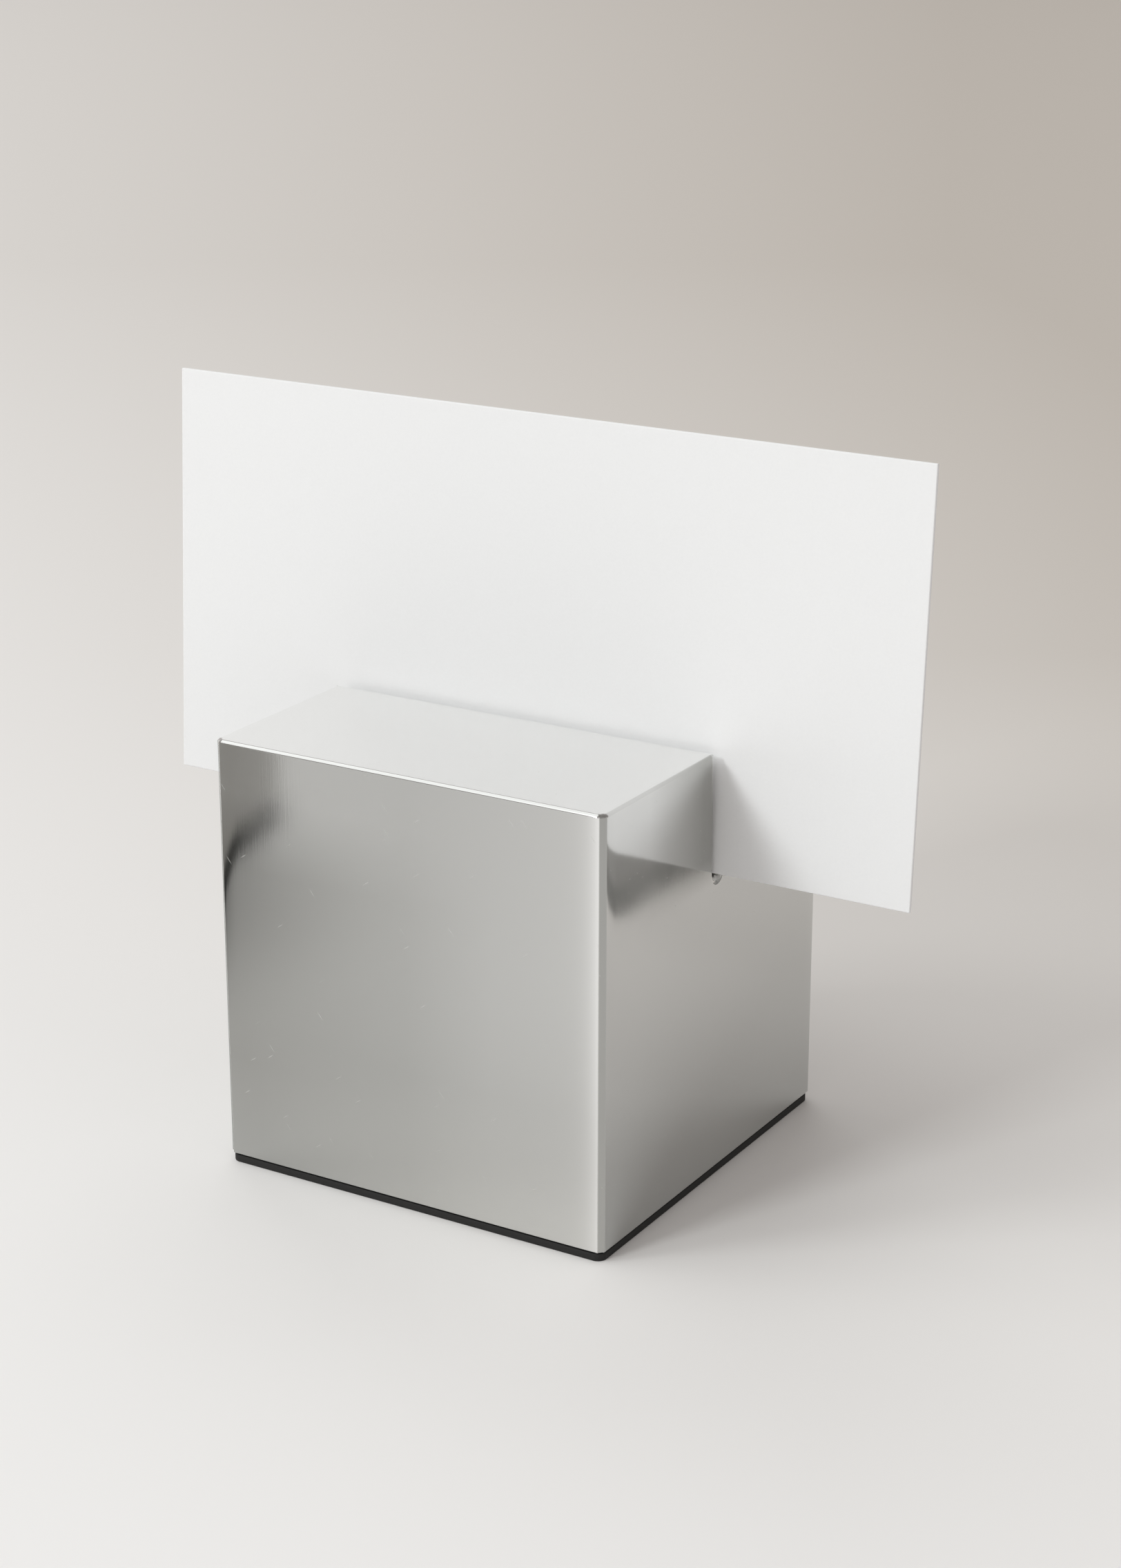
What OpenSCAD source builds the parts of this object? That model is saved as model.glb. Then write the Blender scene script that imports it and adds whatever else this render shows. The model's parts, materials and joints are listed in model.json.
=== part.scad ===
// Place card holder: a solid metal cube with a round-bottomed slot across its top, a thin rubber pad
// bonded under it, and a card that stands in the slot.
// X runs along the slot, Y from the front face to the back, Z up from the middle of the pad's underside.

/* [Block] */
// Width of the block, along the slot
block_w = 45; // [35:0.5:60]
// Depth of the block, from its front face to its back face
block_d = 45; // [35:0.5:60]
// Height of the block, without the pad
block_h = 45.3; // [30:0.1:60]
// Leg of the chamfer on the upright edges
upright_chamfer = 0.55; // [0.2:0.05:2]
// Leg of the smaller chamfer round the top face
top_chamfer = 0.3; // [0.1:0.05:0.8]
// Leg of the fine chamfer round the underside
foot_chamfer = 0.15; // [0.05:0.05:0.8]

/* [Slot] */
// Clear width between the slot's walls
slot_w = 1.2; // [0.8:0.05:2]
// Depth from the top face to the lowest line of the round bottom
slot_depth = 13.3; // [8:0.1:20]
// Radius that rounds the edges of the slot's mouth
mouth_r = 0.7; // [0.3:0.05:1]

/* [Base pad] */
// Thickness of the rubber pad
pad_t = 0.8; // [0.5:0.1:3]
// Set-back of the pad from the block's sides
pad_inset = 0.15; // [0.05:0.05:1]
// Radius of the pad's corners
pad_corner_r = 1; // [0.5:0.1:5]

/* [Adhesive film] */
// Thickness of the film that bonds the pad to the block
film_t = 0.12; // [0.05:0.01:0.3]
// Set-back of the film from the pad's edge
film_inset = 0.5; // [0.2:0.1:3]

/* [Card] */
// Width of the card, along the slot
card_w = 87.5; // [50:0.5:120]
// Height of the card, up its own face
card_h = 43.75; // [25:0.25:80]
// Thickness of the card stock
card_t = 0.4; // [0.2:0.05:0.6]
// Gap left where the card bears on the slot
card_gap = 0.06; // [0.02:0.01:0.15]

/* [Hidden] */
$fn = 96;

// How far a cutting shape runs past the surface that it cuts
overrun = 1;

// Height of the block's underside above the table
base_t = pad_t + film_t;

// Distance from the block's middle to its end faces, its front and back, and its upright chamfers
reach_x = block_w / 2;
reach_y = block_d / 2;
reach_chamfer = (reach_x + reach_y - upright_chamfer) / sqrt(2);

// Length of the slabs whose intersection is the block, enough to clear every corner
slab_length = 2 * (block_w + block_d);

// Height of the slot's round bottom, at the middle of its arc, above the block's underside
slot_round_z = block_h - slot_depth + slot_w / 2;

// The card bears on two lines: its foot on the front wall, where the round bottom begins, and its back
// on the rounded rear edge of the mouth. These run from the foot to the middle of that rounding.
bearing_y = slot_w - card_gap + mouth_r;
bearing_z = slot_depth - slot_w / 2 - mouth_r;

// The lean that those two lines give the card, in degrees
card_lean = acos((card_t + card_gap + mouth_r) / norm([bearing_y, bearing_z])) - atan2(bearing_z, bearing_y);

// A slab of the block's height with faces at plus and minus reach in Y and its four long edges broken
module broken_slab(reach) {
    foot_reach = reach - foot_chamfer;
    top_reach = reach - top_chamfer;
    rotate([90, 0, 90])
        linear_extrude(height = slab_length, center = true)
            polygon([
                [-reach, foot_chamfer],
                [-foot_reach, 0],
                [foot_reach, 0],
                [reach, foot_chamfer],
                [reach, block_h - top_chamfer],
                [top_reach, block_h],
                [-top_reach, block_h],
                [-reach, block_h - top_chamfer]
            ]);
}

// The block before its slot is cut: the space that the four slabs share, with every edge broken
module plain_block() {
    intersection() {
        broken_slab(reach_y);
        rotate([0, 0, 90]) broken_slab(reach_x);
        rotate([0, 0, 45]) broken_slab(reach_chamfer);
        rotate([0, 0, -45]) broken_slab(reach_chamfer);
    }
}

// Half of the flared mouth in section: x from the slot's middle plane, y from the cut face inwards
module half_mouth() {
    flare = slot_w / 2 + mouth_r;
    difference() {
        translate([0, -overrun]) square([flare, overrun + mouth_r]);
        translate([flare, mouth_r]) circle(r = mouth_r);
    }
}

module whole_mouth() {
    half_mouth();
    mirror([1, 0]) half_mouth();
}

// The slot in section across the block: straight walls, round bottom and the mouth in the top face
module slot_section() {
    translate([0, slot_round_z]) circle(d = slot_w);
    translate([-slot_w / 2, slot_round_z]) square([slot_w, block_h - slot_round_z]);
    translate([0, block_h]) mirror([0, 1]) whole_mouth();
}

// The flare where the slot comes out of the right-hand face: round the bottom, then up both walls
module end_mouth() {
    translate([reach_x, 0, slot_round_z])
        rotate([0, -90, 0]) {
            rotate([0, 0, 90]) rotate_extrude(angle = 180) half_mouth();
            rotate([90, 0, 90]) linear_extrude(height = block_h - slot_round_z + overrun) whole_mouth();
        }
}

module card_slot() {
    rotate([90, 0, 90]) linear_extrude(height = block_w + 2 * overrun, center = true) slot_section();
    end_mouth();
    mirror([1, 0, 0]) end_mouth();
}

// A flat plate with rounded corners, standing on the plane of its module
module rounded_plate(width, depth, corner_r, thickness) {
    linear_extrude(height = thickness) {
        square([width - 2 * corner_r, depth], center = true);
        square([width, depth - 2 * corner_r], center = true);
        for (side_x = [-1, 1], side_y = [-1, 1])
            translate([side_x * (width / 2 - corner_r), side_y * (depth / 2 - corner_r)]) circle(r = corner_r);
    }
}

module block() {
    color("silver")
        translate([0, 0, base_t])
            difference() {
                plain_block();
                card_slot();
            }
}

module adhesive_film() {
    inset = pad_inset + film_inset;
    color("wheat")
        translate([0, 0, pad_t])
            rounded_plate(block_w - 2 * inset, block_d - 2 * inset, pad_corner_r, film_t);
}

module base_pad() {
    color("#2b2b29")
        rounded_plate(block_w - 2 * pad_inset, block_d - 2 * pad_inset, pad_corner_r, pad_t);
}

module place_card() {
    color("white")
        translate([0, card_gap - slot_w / 2, base_t + slot_round_z])
            rotate([-card_lean, 0, 0])
                translate([-card_w / 2, 0, 0])
                    cube([card_w, card_t, card_h]);
}

block();
adhesive_film();
base_pad();
place_card();
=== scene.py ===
import json
import math

import bmesh
import bpy
from mathutils import Matrix, Vector


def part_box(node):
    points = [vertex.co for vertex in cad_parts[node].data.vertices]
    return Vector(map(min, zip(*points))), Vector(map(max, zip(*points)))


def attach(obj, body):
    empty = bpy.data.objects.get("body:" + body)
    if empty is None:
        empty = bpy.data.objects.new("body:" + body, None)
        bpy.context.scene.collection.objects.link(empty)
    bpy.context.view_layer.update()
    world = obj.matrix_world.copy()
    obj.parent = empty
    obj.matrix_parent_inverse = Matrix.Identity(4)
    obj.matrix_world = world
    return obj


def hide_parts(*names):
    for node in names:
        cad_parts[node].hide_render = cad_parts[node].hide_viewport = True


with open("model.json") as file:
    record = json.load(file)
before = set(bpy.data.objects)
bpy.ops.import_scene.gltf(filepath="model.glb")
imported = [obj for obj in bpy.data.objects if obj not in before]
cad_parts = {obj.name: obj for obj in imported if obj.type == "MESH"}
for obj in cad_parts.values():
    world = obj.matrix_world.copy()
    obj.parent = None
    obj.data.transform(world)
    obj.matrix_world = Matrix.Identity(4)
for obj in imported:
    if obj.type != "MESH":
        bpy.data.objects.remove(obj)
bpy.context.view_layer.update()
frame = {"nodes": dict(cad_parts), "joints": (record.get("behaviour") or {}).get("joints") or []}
print("frame loaded:", ", ".join(frame["nodes"]))

mm = 0.001  # the scene is in metres
touching = 0.01 * mm  # closer together than this counts as in the same place
cutMargin = 0.001 * mm  # a cut that passes this close to a corner goes through it
squareTurn = 1.0  # radians: faces that turn more than this at an edge meet there at a square corner
chamferTurn = 0.6  # radians: faces that turn more than this, but less than that, meet at a chamfer's edge


def hexToLinear(hexColour):
    channels = [int(hexColour[i : i + 2], 16) / 255 for i in (1, 3, 5)]
    # the standard sRGB curve
    linear = [c / 12.92 if c <= 0.04045 else ((c + 0.055) / 1.055) ** 2.4 for c in channels]
    return (*linear, 1.0)


def addNode(tree, kind, sockets=None, **settings):
    node = tree.nodes.new(kind)
    for name, value in settings.items():
        setattr(node, name, value)
    for name, value in (sockets or {}).items():
        if isinstance(value, bpy.types.NodeSocket):
            tree.links.new(value, node.inputs[name])
        else:
            node.inputs[name].default_value = value
    return node


def newMaterial(name):
    material = bpy.data.materials.new(name)
    material.use_nodes = True
    tree = material.node_tree
    place = addNode(tree, "ShaderNodeTexCoord").outputs["Object"]
    return material, tree, tree.nodes["Principled BSDF"], place


# Stainless steel bar, ground upright and then buffed: a soft mirror, drawn out sideways by the grinding
# lines, that grows brighter the flatter it is looked along. A painted highlight makes the front and back
# brightest at their +X edges and a little brighter at the foot on that side. A painted darker reflection
# makes them dullest half-way up towards -X. Painted shade darkens the inside of the slot, and a painted
# darker reflection the metal beside the slot's ends. Handling has left pits and short scratches.
steelFinish = {
    "square": ("#b5b5b2", "#9a9a97"),  # looked at square on, at the foot and at the top
    "glance": ("#cbcdcc", "#fafaf9"),  # looked along, at the foot and at the top
    "glanceFull": 0.75,  # of the way from square on to edge on, where the second colour is full
    # painted highlight along the +X edges of the front and back
    "paintedEdgeHighlight": "#fdfdfc",
    "highlightPower": 22.0,  # how steeply the painted edge highlight fades
    "highlightShares": (0.62, 0.22),  # of the painted highlight on the edge itself, and of a gentle painted rise over the half next to it
    # painted darker reflection, half-way up towards -X on the front and back
    "paintedDarkReflection": "#a7a7a4",
    # painted highlight at the foot of the front and back, towards +X
    "paintedFootHighlight": "#cdcdca",
    # painted darker reflection of the card's shadow, on the ends beside the slot
    "paintedShadeBesideSlot": "#b9b9b6",
    "mouth": "#f6f7f6",  # the rounded edges of the slot, along the top
    # painted shade inside the slot
    "inSlot": "#3a3a38",
    "fresh": "#d6d6d4",  # the bare metal of a pit or scratch
    "roughness": (0.08, 0.115),  # where the buffing left it clearest and haziest
    "slotRoughness": 0.35,
    "markRoughness": 0.55,
    "cloudSize": 7.0,  # mm, a hazier patch
    "cloudDetail": 4.0,
    "cloudRange": (0.3, 0.7),  # the values of the pattern that are clearest and haziest
    "lineSize": (0.12, 0.12, 11.0),  # mm, a grinding line across and along, drawn coarse enough to show
    "lineDetail": 3.0,
    "lineDepth": 0.0009,  # mm
}

# Where each zone of the colour, most of them painted highlight or painted shade, begins and is full, in
# mm from the block's middle or, for Z, the table
steelZones = {
    "level": ("Z", 1.0, 46.0),
    "towardsEdge": ("X", 0.0, 21.95),
    "onFrontAndBack": ("sideways Y", 22.36, 22.44),
    "leftwards": ("X", 10.0, -20.0),
    "belowTop": ("Z", 41.0, 33.0),
    "aboveFoot": ("Z", -6.0, 12.0),
    "downwards": ("Z", 15.0, 1.0),
    "rightwards": ("X", -18.0, 8.0),
    "nearSlot": ("sideways Y", 14.0, 3.0),
    "aboveSlotFoot": ("Z", 32.5, 35.5),
    "onEnds": ("sideways X", 22.2, 22.35),
    "overSlot": ("sideways Y", 1.5, 1.25),
    "atTop": ("Z", 41.0, 45.0),
    "betweenWalls": ("sideways Y", 0.64, 0.605),
    "betweenEnds": ("sideways X", 21.6, 20.5),
}

# The zones that are where two others overlap
steelOverlaps = {
    "paintedEdgeHighlight": ("paintedHighlightRise", "onFrontAndBack"),
    "halfWayUp": ("belowTop", "aboveFoot"),
    "darkReflectionSide": ("leftwards", "onFrontAndBack"),
    "paintedDarkReflection": ("halfWayUp", "darkReflectionSide"),
    "lowerRight": ("downwards", "rightwards"),
    "paintedFootHighlight": ("lowerRight", "onFrontAndBack"),
    "slotShadeReach": ("nearSlot", "aboveSlotFoot"),
    "paintedShadeBesideSlot": ("slotShadeReach", "onEnds"),
    "mouth": ("overSlot", "atTop"),
    "inSlot": ("betweenWalls", "betweenEnds"),
}

# Marks of handling, at most one to a cell: the cell's size in mm and tilt in degrees, the share of it
# that the mark fills, and the mark's depth in mm
steelMarks = {
    "pits": {"cell": (5.0, 5.0, 5.0), "tilt": 0, "share": 0.02, "depth": 0.006},
    "scratchesLeaningLeft": {"cell": (0.9, 0.9, 11.0), "tilt": -38, "share": 0.06, "depth": 0.001},
    "scratchesLeaningRight": {"cell": (0.9, 0.9, 8.0), "tilt": 55, "share": 0.06, "depth": 0.001},
}


def addSteelRelief(tree, place):
    lineSize = Vector(steelFinish["lineSize"]) * mm
    drawnOut = addNode(
        tree, "ShaderNodeMapping", {"Vector": place, "Scale": lineSize}, vector_type="TEXTURE"
    )
    lines = addNode(
        tree,
        "ShaderNodeTexNoise",
        {"Vector": drawnOut.outputs["Vector"], "Scale": 1.0, "Detail": steelFinish["lineDetail"]},
    )
    relief = addNode(
        tree,
        "ShaderNodeBump",
        {"Height": lines.outputs["Fac"], "Distance": steelFinish["lineDepth"] * mm},
    )
    dents = []
    for mark in steelMarks.values():
        cells = addNode(
            tree,
            "ShaderNodeMapping",
            {
                "Vector": place,
                "Rotation": (0, math.radians(mark["tilt"]), 0),
                "Scale": Vector(mark["cell"]) * mm,
            },
            vector_type="TEXTURE",
        )
        middle = addNode(
            tree, "ShaderNodeTexVoronoi", {"Vector": cells.outputs["Vector"], "Scale": 1.0}
        )
        dent = addNode(
            tree,
            "ShaderNodeMapRange",
            {"Value": middle.outputs["Distance"], "From Max": mark["share"]},
        )
        relief = addNode(
            tree,
            "ShaderNodeBump",
            {
                "Height": dent.outputs["Result"],
                "Distance": mark["depth"] * mm,
                "Normal": relief.outputs["Normal"],
            },
        )
        dents.append(dent.outputs["Result"])
    unmarked = dents[0]
    for dent in dents[1:]:
        clear = addNode(tree, "ShaderNodeMath", {0: unmarked, 1: dent}, operation="MULTIPLY")
        unmarked = clear.outputs[0]
    return relief.outputs["Normal"], unmarked


def addSteelZones(tree, place):
    axes = addNode(tree, "ShaderNodeSeparateXYZ", {"Vector": place})
    reach = {axis: axes.outputs[axis] for axis in "XYZ"}
    for axis in "XY":
        sideways = addNode(tree, "ShaderNodeMath", {0: axes.outputs[axis]}, operation="ABSOLUTE")
        reach["sideways " + axis] = sideways.outputs[0]
    zones = {}  # each a value from 0 to 1
    for name, (axis, begins, full) in steelZones.items():
        zone = addNode(
            tree,
            "ShaderNodeMapRange",
            {"Value": reach[axis], "From Min": begins * mm, "From Max": full * mm},
        )
        zones[name] = zone.outputs["Result"]
    edgeShare, riseShare = steelFinish["highlightShares"]
    edge = addNode(
        tree,
        "ShaderNodeMath",
        {0: zones["towardsEdge"], 1: steelFinish["highlightPower"]},
        operation="POWER",
    )
    rise = addNode(
        tree, "ShaderNodeMath", {0: zones["towardsEdge"], 1: riseShare}, operation="MULTIPLY"
    )
    paintedHighlightRise = addNode(
        tree,
        "ShaderNodeMath",
        {0: edge.outputs[0], 1: edgeShare, 2: rise.outputs[0]},
        operation="MULTIPLY_ADD",
    )
    zones["paintedHighlightRise"] = paintedHighlightRise.outputs[0]
    for name, (one, other) in steelOverlaps.items():
        both = addNode(
            tree, "ShaderNodeMath", {0: zones[one], 1: zones[other]}, operation="MULTIPLY"
        )
        zones[name] = both.outputs[0]
    return zones


def makePolishedSteel():
    material, tree, shader, place = newMaterial("polishedStainlessSteel")
    normal, unmarked = addSteelRelief(tree, place)
    tree.links.new(normal, shader.inputs["Normal"])
    zones = addSteelZones(tree, place)

    # the colour: the plain mirror first, each zone over it, most of them painted highlight or painted
    # shade, and the marks last
    square, glance = (
        addNode(
            tree,
            "ShaderNodeMix",
            {"Factor": zones["level"], "A": hexToLinear(pair[0]), "B": hexToLinear(pair[1])},
            data_type="RGBA",
        )
        for pair in (steelFinish["square"], steelFinish["glance"])
    )
    flatness = addNode(
        tree,
        "ShaderNodeMapRange",
        {
            "Value": addNode(tree, "ShaderNodeLayerWeight").outputs["Facing"],
            "From Max": steelFinish["glanceFull"],
        },
    )
    colour = addNode(
        tree,
        "ShaderNodeMix",
        {
            "Factor": flatness.outputs["Result"],
            "A": square.outputs["Result"],
            "B": glance.outputs["Result"],
        },
        data_type="RGBA",
    )
    for name in ("paintedDarkReflection", "paintedFootHighlight", "paintedEdgeHighlight", "paintedShadeBesideSlot", "inSlot", "mouth"):
        zoneColour = hexToLinear(steelFinish[name])
        colour = addNode(
            tree,
            "ShaderNodeMix",
            {"Factor": zones[name], "A": colour.outputs["Result"], "B": zoneColour},
            data_type="RGBA",
        )
    colour = addNode(
        tree,
        "ShaderNodeMix",
        {
            "Factor": unmarked,
            "A": hexToLinear(steelFinish["fresh"]),
            "B": colour.outputs["Result"],
        },
        data_type="RGBA",
    )
    tree.links.new(colour.outputs["Result"], shader.inputs["Base Color"])
    shader.inputs["Metallic"].default_value = 1.0

    # the haze, the slot's coarser cut, and the marks, which scatter what they should mirror
    cloud = addNode(
        tree,
        "ShaderNodeTexNoise",
        {
            "Vector": place,
            "Scale": 1 / (steelFinish["cloudSize"] * mm),
            "Detail": steelFinish["cloudDetail"],
        },
    )
    haze = addNode(
        tree,
        "ShaderNodeMapRange",
        {
            "Value": cloud.outputs["Fac"],
            "From Min": steelFinish["cloudRange"][0],
            "From Max": steelFinish["cloudRange"][1],
            "To Min": steelFinish["roughness"][0],
            "To Max": steelFinish["roughness"][1],
        },
    )
    roughness = addNode(
        tree,
        "ShaderNodeMix",
        {
            "Factor": zones["inSlot"],
            "A": haze.outputs["Result"],
            "B": steelFinish["slotRoughness"],
        },
    )
    marked = addNode(
        tree,
        "ShaderNodeMix",
        {
            "Factor": unmarked,
            "A": steelFinish["markRoughness"],
            "B": roughness.outputs["Result"],
        },
    )
    tree.links.new(marked.outputs["Result"], shader.inputs["Roughness"])
    return material


def makeGrained(name, finish):
    material, tree, shader, place = newMaterial(name)
    grain = addNode(
        tree,
        "ShaderNodeTexNoise",
        {"Vector": place, "Scale": 1 / (finish["grain"] * mm), "Detail": finish["grainDetail"]},
    )
    shade = addNode(
        tree,
        "ShaderNodeMix",
        {
            "Factor": grain.outputs["Fac"],
            "A": hexToLinear(finish["colour"]),
            "B": hexToLinear(finish["mottle"]),
        },
        data_type="RGBA",
    )
    tree.links.new(shade.outputs["Result"], shader.inputs["Base Color"])
    if "bumpDepth" in finish:
        bump = addNode(
            tree,
            "ShaderNodeBump",
            {
                "Height": grain.outputs["Fac"],
                "Strength": finish["bumpStrength"],
                "Distance": finish["bumpDepth"] * mm,
            },
        )
        tree.links.new(bump.outputs["Normal"], shader.inputs["Normal"])
    shader.inputs["Roughness"].default_value = finish["roughness"]
    return material


# Die-cut sheet rubber, matt black: a fine pebble, drawn coarse enough to show, breaks up what little
# light it gives back.
rubberFinish = {
    "colour": "#141413",
    "mottle": "#1f1e1d",  # a trace of dust
    "grain": 0.18,  # mm
    "grainDetail": 2.0,
    "bumpDepth": 0.012,  # mm
    "bumpStrength": 0.6,
    "roughness": 0.72,
}

# Uncoated white card: no gloss, and pressed fibres, drawn coarse enough to show, that give only the
# faintest mottle.
cardFinish = {
    "colour": "#ececec",
    "mottle": "#e8e8e8",
    "grain": 0.25,  # mm
    "grainDetail": 5.0,
    "bumpDepth": 0.004,  # mm
    "bumpStrength": 0.5,
    "roughness": 0.92,
}

# Transfer adhesive on a thin carrier: a glossy straw-coloured edge, in shadow between metal and rubber.
filmFinish = {
    "colour": "#8c7f5e",
    "mottle": "#6f6449",
    "grain": 0.6,  # mm
    "grainDetail": 2.0,
    "roughness": 0.35,
}

steel = makePolishedSteel()
rubber = makeGrained("blackSheetRubber", rubberFinish)
cardStock = makeGrained("uncoatedCardStock", cardFinish)
adhesive = makeGrained("transferAdhesiveFilm", filmFinish)
print("materials made")


def addMesh(bm, name, material):
    mesh = bpy.data.meshes.new(name)
    bm.to_mesh(mesh)
    bm.free()
    mesh.materials.append(material)
    added = bpy.data.objects.new(name, mesh)
    bpy.context.collection.objects.link(added)
    return added


def finishPiece(bm, name, material, body, node):
    bmesh.ops.recalc_face_normals(bm, faces=bm.faces)
    piece = addMesh(bm, name, material)
    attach(piece, body)
    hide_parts(node)
    return piece


def evenShading(piece):
    evenNormals = piece.modifiers.new("evenNormals", "WEIGHTED_NORMAL")
    evenNormals.weight = 100  # the large flat faces stay flat


def bevelEdges(bm, edges, offset, segments):
    bmesh.ops.bevel(
        bm,
        geom=edges,
        offset=offset,
        offset_type="OFFSET",
        affect="EDGES",
        segments=segments,
        profile=0.5,
        material=-1,
    )


# The block: a U-shaped outline drawn across the slot, pulled along it, and then its edges broken
blockShape = {
    "slotWidth": 1.2 * mm,
    "slotDepth": 13.3 * mm,
    "slotSteps": 16,  # round the slot's bottom
    "mouthRadius": 0.7 * mm,
    "mouthSteps": 6,
    "uprightChamfer": 0.55 * mm,
    "topChamfer": 0.27 * mm,
    "footChamfer": 0.15 * mm,
    "shoulder": 0.07 * mm,  # where the buffing wheel softened a chamfer's two edges
    "shoulderSteps": 3,
    "rollReach": 2.6 * mm,  # how far from an upright edge the buffing has begun to round the faces
    "rollDrop": 0.09 * mm,  # how much it has taken off by the edge
    "rollPower": 3,  # how late it sets in
    "rollSteps": (1.0, 0.86, 0.70, 0.53, 0.36, 0.18),  # shares of the reach
}


def rollEdges(bm, low, high):
    reach, drop = blockShape["rollReach"], blockShape["rollDrop"]
    for share in blockShape["rollSteps"]:
        for axis in (0, 1):
            for side in (low, high):
                place, square = Vector(), Vector()
                place[axis] = side[axis] - math.copysign(share * reach, side[axis])
                square[axis] = 1.0
                bmesh.ops.bisect_plane(
                    bm,
                    geom=bm.verts[:] + bm.edges[:] + bm.faces[:],
                    dist=cutMargin,
                    plane_co=place,
                    plane_no=square,
                )
    for vert in bm.verts:
        shifted = vert.co.copy()
        for axis, across in ((0, 1), (1, 0)):
            onFace = abs(abs(vert.co[axis]) - high[axis]) < blockShape["uprightChamfer"]
            into = (abs(vert.co[across]) - high[across] + reach) / reach
            if onFace and into > 0:
                taken = drop * into ** blockShape["rollPower"]
                shifted[axis] -= math.copysign(taken, vert.co[axis])
        vert.co = shifted


def buildBlock():
    low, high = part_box("block")
    half = blockShape["slotWidth"] / 2
    roundZ = high.z - blockShape["slotDepth"] + half
    bm = bmesh.new()

    # the slot's round bottom, from its rear wall to its front wall
    start = bm.verts.new((low.x, half, roundZ))
    bmesh.ops.spin(
        bm,
        geom=[start],
        cent=(low.x, 0, roundZ),
        axis=(-1, 0, 0),
        angle=math.pi,
        steps=blockShape["slotSteps"],
    )

    # the rest of the outline, round the block and back to the rear wall
    rest = [
        (-half, high.z),
        (low.y, high.z),
        (low.y, low.z),
        (high.y, low.z),
        (high.y, high.z),
        (half, high.z),
    ]
    last = min(bm.verts, key=lambda v: v.co.y)
    for y, z in rest:
        corner = bm.verts.new((low.x, y, z))
        bm.edges.new((last, corner))
        last = corner
    bm.edges.new((last, start))
    outline = bmesh.ops.contextual_create(bm, geom=bm.edges[:])["faces"]
    pulled = bmesh.ops.extrude_face_region(bm, geom=outline)["geom"]
    moved = [part for part in pulled if isinstance(part, bmesh.types.BMVert)]
    bmesh.ops.translate(bm, verts=moved, vec=(high.x - low.x, 0, 0))
    bmesh.ops.recalc_face_normals(bm, faces=bm.faces)

    def atEnd(v):
        return min(abs(v.co.x - low.x), abs(v.co.x - high.x)) < touching

    def atSide(v):
        return min(abs(v.co.y - low.y), abs(v.co.y - high.y)) < touching

    def atTop(v):
        return abs(v.co.z - high.z) < touching

    def inSlot(v):
        return abs(v.co.y) < half + touching and v.co.z > roundZ - half - touching

    def chosen(*tests):
        return [edge for edge in bm.edges if all(test(v) for v in edge.verts for test in tests)]

    def runsAlong(edge, axis):
        return abs(edge.verts[0].co[axis] - edge.verts[1].co[axis]) > touching

    upright = [edge for edge in chosen(atEnd, atSide) if runsAlong(edge, 2)]
    bevelEdges(bm, upright, blockShape["uprightChamfer"], 1)

    # the slot's mouth: along the top, and round the way out at each end
    along = [edge for edge in chosen(inSlot, atTop) if runsAlong(edge, 0)]
    wayOut = [edge for edge in chosen(inSlot, atEnd) if not runsAlong(edge, 0)]
    bevelEdges(bm, along + wayOut, blockShape["mouthRadius"], blockShape["mouthSteps"])

    # the smaller chamfers round the top face and the underside
    for level, chamfer in ((high.z, blockShape["topChamfer"]), (low.z, blockShape["footChamfer"])):
        rim = [
            edge
            for edge in bm.edges
            if all(abs(v.co.z - level) < touching for v in edge.verts)
            and edge.calc_face_angle(0.0) > squareTurn
        ]
        bevelEdges(bm, rim, chamfer, 1)

    # the shoulders of all the chamfers
    shoulders = [edge for edge in bm.edges if chamferTurn < edge.calc_face_angle(0.0) < squareTurn]
    bevelEdges(bm, shoulders, blockShape["shoulder"], blockShape["shoulderSteps"])
    rollEdges(bm, low, high)
    for face in bm.faces:
        face.smooth = True
    return finishPiece(bm, "steelBlock", steel, "holder", "block")


block = buildBlock()
evenShading(block)
print("block built:", len(block.data.polygons), "faces")

# The pad: a die-cut square with rounded corners, its edges just eased
padShape = {
    "cornerRadius": 1.0 * mm,
    "cornerSteps": 8,
    "edge": 0.09 * mm,
    "edgeSteps": 2,
    "level": 0.99,  # how upright a face's normal is where the face is shaded flat
}


def buildPad():
    low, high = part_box("base_pad")
    bm = bmesh.new()
    bmesh.ops.create_cube(bm, size=1.0)
    bmesh.ops.scale(bm, vec=high - low, verts=bm.verts)
    bmesh.ops.translate(bm, vec=(low + high) / 2, verts=bm.verts)
    corners = [
        edge for edge in bm.edges if abs(edge.verts[0].co.z - edge.verts[1].co.z) > touching
    ]
    bevelEdges(bm, corners, padShape["cornerRadius"], padShape["cornerSteps"])
    rims = [edge for edge in bm.edges if edge.calc_face_angle(0.0) > squareTurn]
    bevelEdges(bm, rims, padShape["edge"], padShape["edgeSteps"])
    for face in bm.faces:
        face.smooth = abs(face.normal.z) < padShape["level"]
    return finishPiece(bm, "rubberPad", rubber, "holder", "base_pad")


pad = buildPad()
print("pad built:", len(pad.data.polygons), "faces")

# The card: a guillotined sheet, its cut edges eased by handling, leaning the way its joint lifts it
cardShape = {"thickness": 0.4 * mm, "edge": 0.12 * mm, "edgeSteps": 3}


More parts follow.
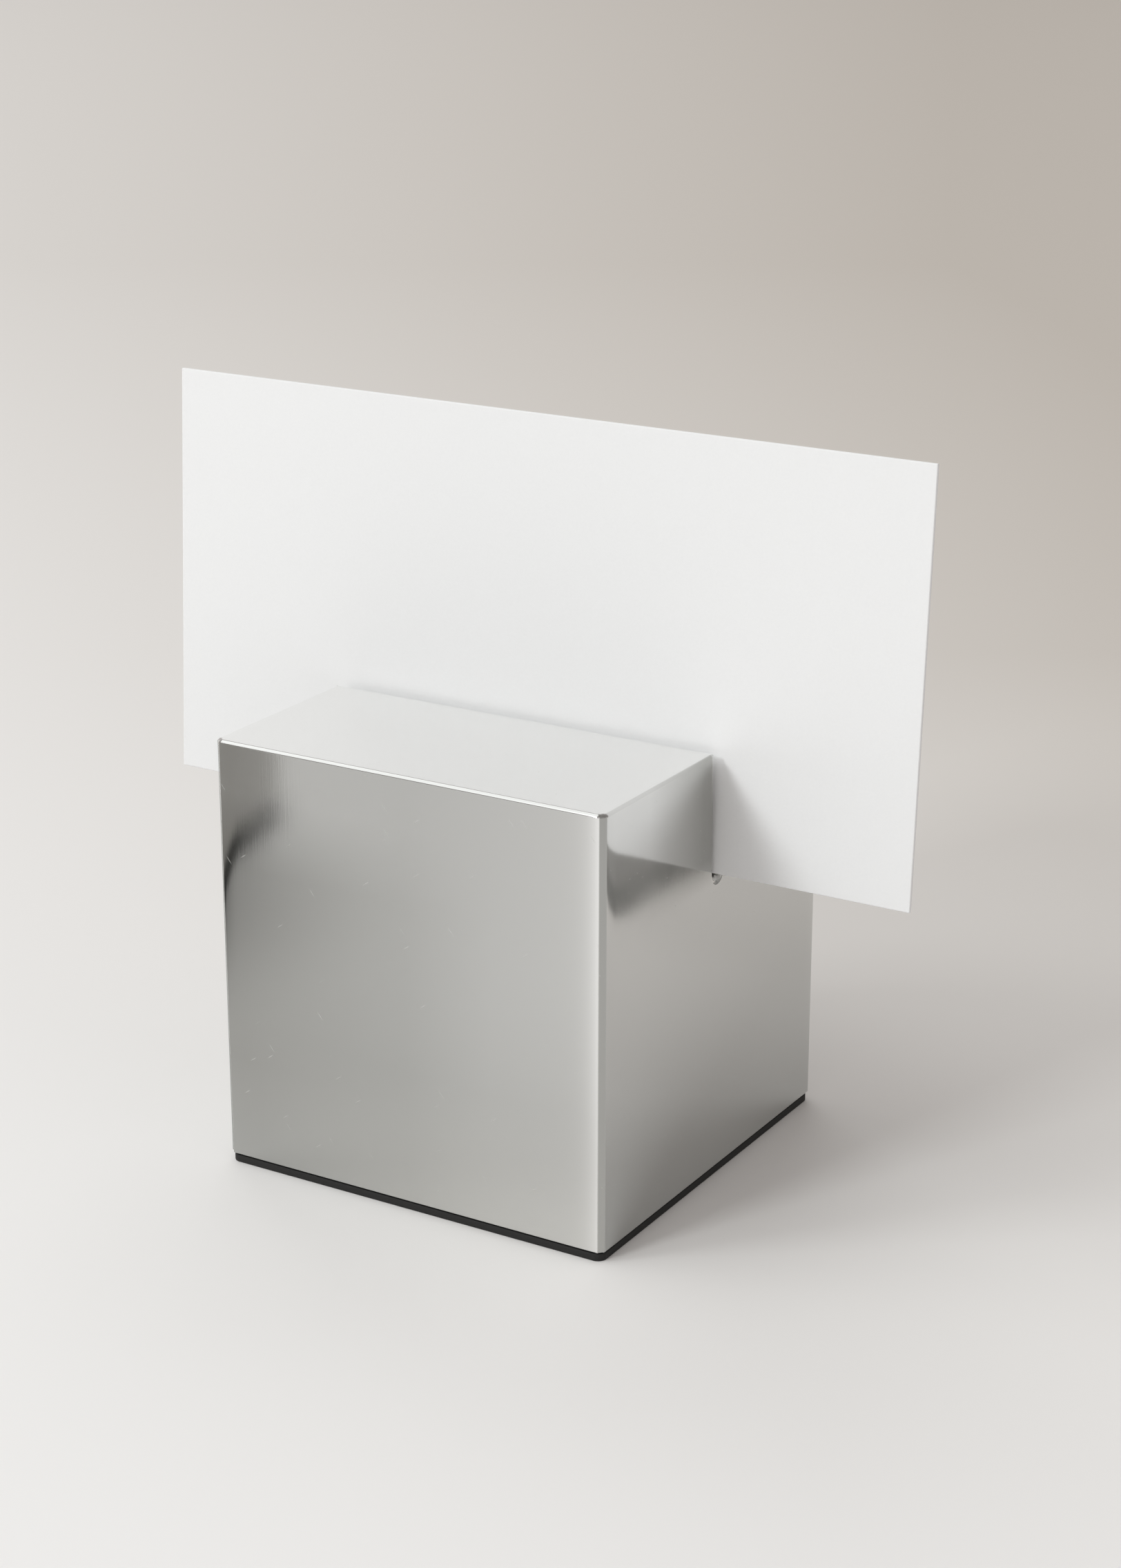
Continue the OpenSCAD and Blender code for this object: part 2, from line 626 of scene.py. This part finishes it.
def buildCard():
    low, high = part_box("place_card")
    lift = next(joint["axis"] for joint in frame["joints"] if joint["child"] == "card")
    lean = math.atan2(lift[1], lift[2])
    thickness = cardShape["thickness"]
    drop = thickness * math.sin(lean)  # how far its rear foot edge is below its front one
    height = (high.z - low.z - drop) / math.cos(lean)
    bm = bmesh.new()
    bmesh.ops.create_cube(bm, size=1.0)
    bmesh.ops.scale(bm, vec=(high.x - low.x, thickness, height), verts=bm.verts)
    bmesh.ops.translate(bm, vec=(0, thickness / 2, height / 2), verts=bm.verts)
    bevelEdges(bm, bm.edges[:], cardShape["edge"], cardShape["edgeSteps"])
    bmesh.ops.rotate(bm, cent=(0, 0, 0), matrix=Matrix.Rotation(-lean, 3, "X"), verts=bm.verts)
    bmesh.ops.translate(bm, vec=(0, low.y, low.z + drop), verts=bm.verts)
    for face in bm.faces:
        face.smooth = True
    return finishPiece(bm, "cardSheet", cardStock, "card", "place_card")


card = buildCard()
evenShading(card)
print("card built:", len(card.data.polygons), "faces")

# The film keeps its solid, and takes its finish here
film = frame["nodes"]["adhesive_film"]
film.data.materials.clear()
film.data.materials.append(adhesive)
print("film dressed")

# The camera, where the photograph was taken from
cameraView = {
    "target": Vector((4.263, 0.0, 39.590)) * mm,
    "distance": 316.43 * mm,
    "yaw": 30.999,  # degrees, from looking along +Y towards -X
    "pitch": 18.903,  # degrees downwards
    "lens": 71.29,
    "sensor": 36.0,
    "clip": (10 * mm, 20000 * mm),
}


def placeCamera():
    yaw, pitch = math.radians(cameraView["yaw"]), math.radians(cameraView["pitch"])
    turn = Matrix.Rotation(yaw, 4, "Z") @ Matrix.Rotation(math.pi / 2 - pitch, 4, "X")
    back = turn @ Vector((0, 0, cameraView["distance"]))
    data = bpy.data.cameras.new("photoCamera")
    data.lens, data.sensor_width = cameraView["lens"], cameraView["sensor"]
    data.clip_start, data.clip_end = cameraView["clip"]
    camera = bpy.data.objects.new("photoCamera", data)
    camera.matrix_world = Matrix.Translation(cameraView["target"] + back) @ turn
    bpy.context.collection.objects.link(camera)
    bpy.context.scene.camera = camera


placeCamera()
print("camera placed")

# The floor: one pale sheet of matt paper, wide enough to fill the view, with painted shade that deepens
# far away and most of all to the right, for the light falling off there
floorSheet = {
    "size": 6000 * mm,
    "colour": "#f1f0ef",
    # painted shade, for the light falling off far away
    "paintedFalloffShade": "#c0b9b1",
    "centre": (158.5 * mm, -256.6 * mm, 0),  # the shade turns about this point
    "facing": 120.999,  # degrees from +X, straight ahead of that point
    "turn": (16.0, -12.0),  # degrees to the left of straight ahead, where it begins and is full
    "shares": (0.16, 0.90),  # how much of it there is before it begins, and where it is full
    "range": (175 * mm, 480 * mm),  # how far ahead it begins and is full
    "farShare": 0.23,  # how much is added all across
    "farRange": (480 * mm, 860 * mm),  # how far ahead that begins and is full
    "roughness": 0.95,
}


def makeStudioPaper():
    material, tree, shader, place = newMaterial("mattStudioPaper")
    turned = addNode(
        tree,
        "ShaderNodeMapping",
        {
            "Vector": place,
            "Location": floorSheet["centre"],
            "Rotation": (0, 0, math.radians(floorSheet["facing"])),
        },
        vector_type="TEXTURE",
    )
    turn = addNode(
        tree,
        "ShaderNodeTexGradient",
        {"Vector": turned.outputs["Vector"]},
        gradient_type="RADIAL",
    )
    straightAhead = 0.5  # of the radial gradient, which goes from 0 to 1 in a full turn
    begins, full = (straightAhead + degrees / 360 for degrees in floorSheet["turn"])
    rightwards = addNode(
        tree,
        "ShaderNodeMapRange",
        {
            "Value": turn.outputs["Fac"],
            "From Min": begins,
            "From Max": full,
            "To Min": floorSheet["shares"][0],
            "To Max": floorSheet["shares"][1],
        },
    )
    ahead = addNode(tree, "ShaderNodeSeparateXYZ", {"Vector": turned.outputs["Vector"]}).outputs["X"]
    away = addNode(
        tree,
        "ShaderNodeMapRange",
        {"Value": ahead, "From Min": floorSheet["range"][0], "From Max": floorSheet["range"][1]},
    )
    farAway = addNode(
        tree,
        "ShaderNodeMapRange",
        {
            "Value": ahead,
            "From Min": floorSheet["farRange"][0],
            "From Max": floorSheet["farRange"][1],
            "To Max": floorSheet["farShare"],
        },
    )
    share = addNode(
        tree,
        "ShaderNodeMath",
        {0: rightwards.outputs["Result"], 1: away.outputs["Result"], 2: farAway.outputs["Result"]},
        operation="MULTIPLY_ADD",
        use_clamp=True,
    )
    shade = addNode(
        tree,
        "ShaderNodeMix",
        {
            "Factor": share.outputs[0],
            "A": hexToLinear(floorSheet["colour"]),
            "B": hexToLinear(floorSheet["paintedFalloffShade"]),
        },
        data_type="RGBA",
    )
    tree.links.new(shade.outputs["Result"], shader.inputs["Base Color"])
    shader.inputs["Roughness"].default_value = floorSheet["roughness"]
    return material


def buildFloor():
    bm = bmesh.new()
    bmesh.ops.create_grid(bm, x_segments=2, y_segments=2, size=floorSheet["size"] / 2)
    floor = addMesh(bm, "paperFloor", makeStudioPaper())


buildFloor()
print("floor laid")

# Two plain upright sheets, darker along the bottom as a dark base with painted contact shade, and a round
# of painted shade on the floor that thins out to nothing at its rim, all out of the camera's sight and
# only for the polished faces to mirror. Each sheet's foot is given in mm, as seen from above.
stageSheets = {
    "leftSheet": {
        "foot": ((-79.6, -110), (-76, -96), (-75, -60)),
        "low": "#060606",
        "upper": "#cccbc8",
    },
    "rightSheet": {
        "foot": ((100, 56), (67.3, 58), (67.3, 140)),
        "low": "#7e7e7c",
        "upper": "#a09f9d",
    },
}
stagePaper = {
    "height": 60 * mm,
    "darkBandEnds": (3.4 * mm, 4.6 * mm),  # the heights between which a sheet's darker bottom band, a dark base with painted contact shade, ends
    "roughness": 0.9,
}
# The round of painted shade on the floor near the left sheet, dark and thinning out towards its rim
floorShadeRound = {
    "centre": Vector((-93, -65.4, 0.3)) * mm,
    "radius": 56 * mm,
    "steps": 48,
    "colour": "#0a0a0a",
    "solid": 0.62,  # how far along its fade the painted shade is solid, from 0 at the rim to 1 in the middle
    "roughness": 0.9,
}


def makeSheetPaper(name, sheet):
    material, tree, shader, place = newMaterial(name + "Paper")
    level = addNode(
        tree,
        "ShaderNodeMapRange",
        {
            "Value": addNode(tree, "ShaderNodeSeparateXYZ", {"Vector": place}).outputs["Z"],
            "From Min": stagePaper["darkBandEnds"][0],
            "From Max": stagePaper["darkBandEnds"][1],
        },
    )
    shade = addNode(
        tree,
        "ShaderNodeMix",
        {
            "Factor": level.outputs["Result"],
            "A": hexToLinear(sheet["low"]),
            "B": hexToLinear(sheet["upper"]),
        },
        data_type="RGBA",
    )
    tree.links.new(shade.outputs["Result"], shader.inputs["Base Color"])
    shader.inputs["Roughness"].default_value = stagePaper["roughness"]
    return material


# the round of painted shade: dark, fading out to nothing towards its rim
def makeShadeRoundPaper():
    material, tree, shader, place = newMaterial("fadingShadePaper")
    inRadii = addNode(
        tree,
        "ShaderNodeMapping",
        {"Vector": place, "Location": floorShadeRound["centre"], "Scale": (floorShadeRound["radius"],) * 3},
        vector_type="TEXTURE",
    )
    thinning = addNode(
        tree,
        "ShaderNodeTexGradient",
        {"Vector": inRadii.outputs["Vector"]},
        gradient_type="QUADRATIC_SPHERE",
    )
    cover = addNode(
        tree,
        "ShaderNodeMapRange",
        {"Value": thinning.outputs["Fac"], "From Max": floorShadeRound["solid"]},
    )
    tree.links.new(cover.outputs["Result"], shader.inputs["Alpha"])
    shader.inputs["Base Color"].default_value = hexToLinear(floorShadeRound["colour"])
    shader.inputs["Roughness"].default_value = floorShadeRound["roughness"]
    return material


def addMirrored(bm, name, material):
    seen = addMesh(bm, name, material)
    seen.visible_camera = False
    seen.visible_diffuse = False
    seen.visible_shadow = False
    seen.visible_transmission = False


def setStage():
    for name, sheet in stageSheets.items():
        bm = bmesh.new()
        turns = [bm.verts.new((x * mm, y * mm, 0)) for x, y in sheet["foot"]]
        foot = [bm.edges.new(pair) for pair in zip(turns, turns[1:])]
        raised = bmesh.ops.extrude_edge_only(bm, edges=foot)["geom"]
        upper = [part for part in raised if isinstance(part, bmesh.types.BMVert)]
        bmesh.ops.translate(bm, verts=upper, vec=(0, 0, stagePaper["height"]))
        addMirrored(bm, name, makeSheetPaper(name, sheet))
    bm = bmesh.new()
    bmesh.ops.create_circle(
        bm, cap_ends=True, segments=floorShadeRound["steps"], radius=floorShadeRound["radius"]
    )
    bmesh.ops.translate(bm, verts=bm.verts, vec=floorShadeRound["centre"])
    addMirrored(bm, "paintedFloorShade", makeShadeRoundPaper())


setStage()
print("sheets and mat set")

# Soft studio light: a broad softbox high on the left, a broad lamp behind, two small ones in front, and
# a pale room. A lamp's place is given as it is seen from the point that all of them are aimed at, in
# degrees and mm, and only the lamps marked as mirrored show in the polish.
lamps = {
    "overheadSoftbox": {
        "azimuth": 220,
        "elevation": 54,
        "distance": 2500,
        "size": 2220,
        "power": 20.2,
        "mirrored": True,
    },
    "backLamp": {
        "azimuth": 130,
        "elevation": 42,
        "distance": 2500,
        "size": 1500,
        "power": 10.5,
        "mirrored": False,
    },
    "frontLamp": {
        "azimuth": 250,
        "elevation": 28,
        "distance": 2600,
        "size": 490,
        "power": 17.5,
        "mirrored": True,
    },
    "sideLamp": {
        "azimuth": 225,
        "elevation": 39,
        "distance": 2600,
        "size": 490,
        "power": 8.0,
        "mirrored": False,
    },
}
lampAim = Vector((0, 0, 20))  # mm
lampColour = "#fafeff"
roomLight = {"colour": "#f9f4f1", "strength": 0.52}


def hangLamps():
    for name, lamp in lamps.items():
        data = bpy.data.lights.new(name, "AREA")
        data.shape = "SQUARE"
        data.size = lamp["size"] * mm
        data.energy = lamp["power"]
        data.color = hexToLinear(lampColour)[:3]
        lampObject = bpy.data.objects.new(name, data)
        upwards, around = math.radians(lamp["elevation"]), math.radians(lamp["azimuth"])
        raised = Vector((math.cos(upwards), 0, math.sin(upwards)))
        towards = Matrix.Rotation(around, 3, "Z") @ raised
        lampObject.location = (lampAim + towards * lamp["distance"]) * mm
        lampObject.rotation_euler = (-towards).to_track_quat("-Z", "Y").to_euler()
        lampObject.visible_glossy = lamp["mirrored"]
        bpy.context.collection.objects.link(lampObject)
    world = bpy.data.worlds.new("paleRoom")
    world.use_nodes = True
    backdrop = world.node_tree.nodes["Background"]
    backdrop.inputs["Color"].default_value = hexToLinear(roomLight["colour"])
    backdrop.inputs["Strength"].default_value = roomLight["strength"]
    bpy.context.scene.world = world


hangLamps()
bpy.context.scene.view_settings.view_transform = "Standard"
print("lamps hung")
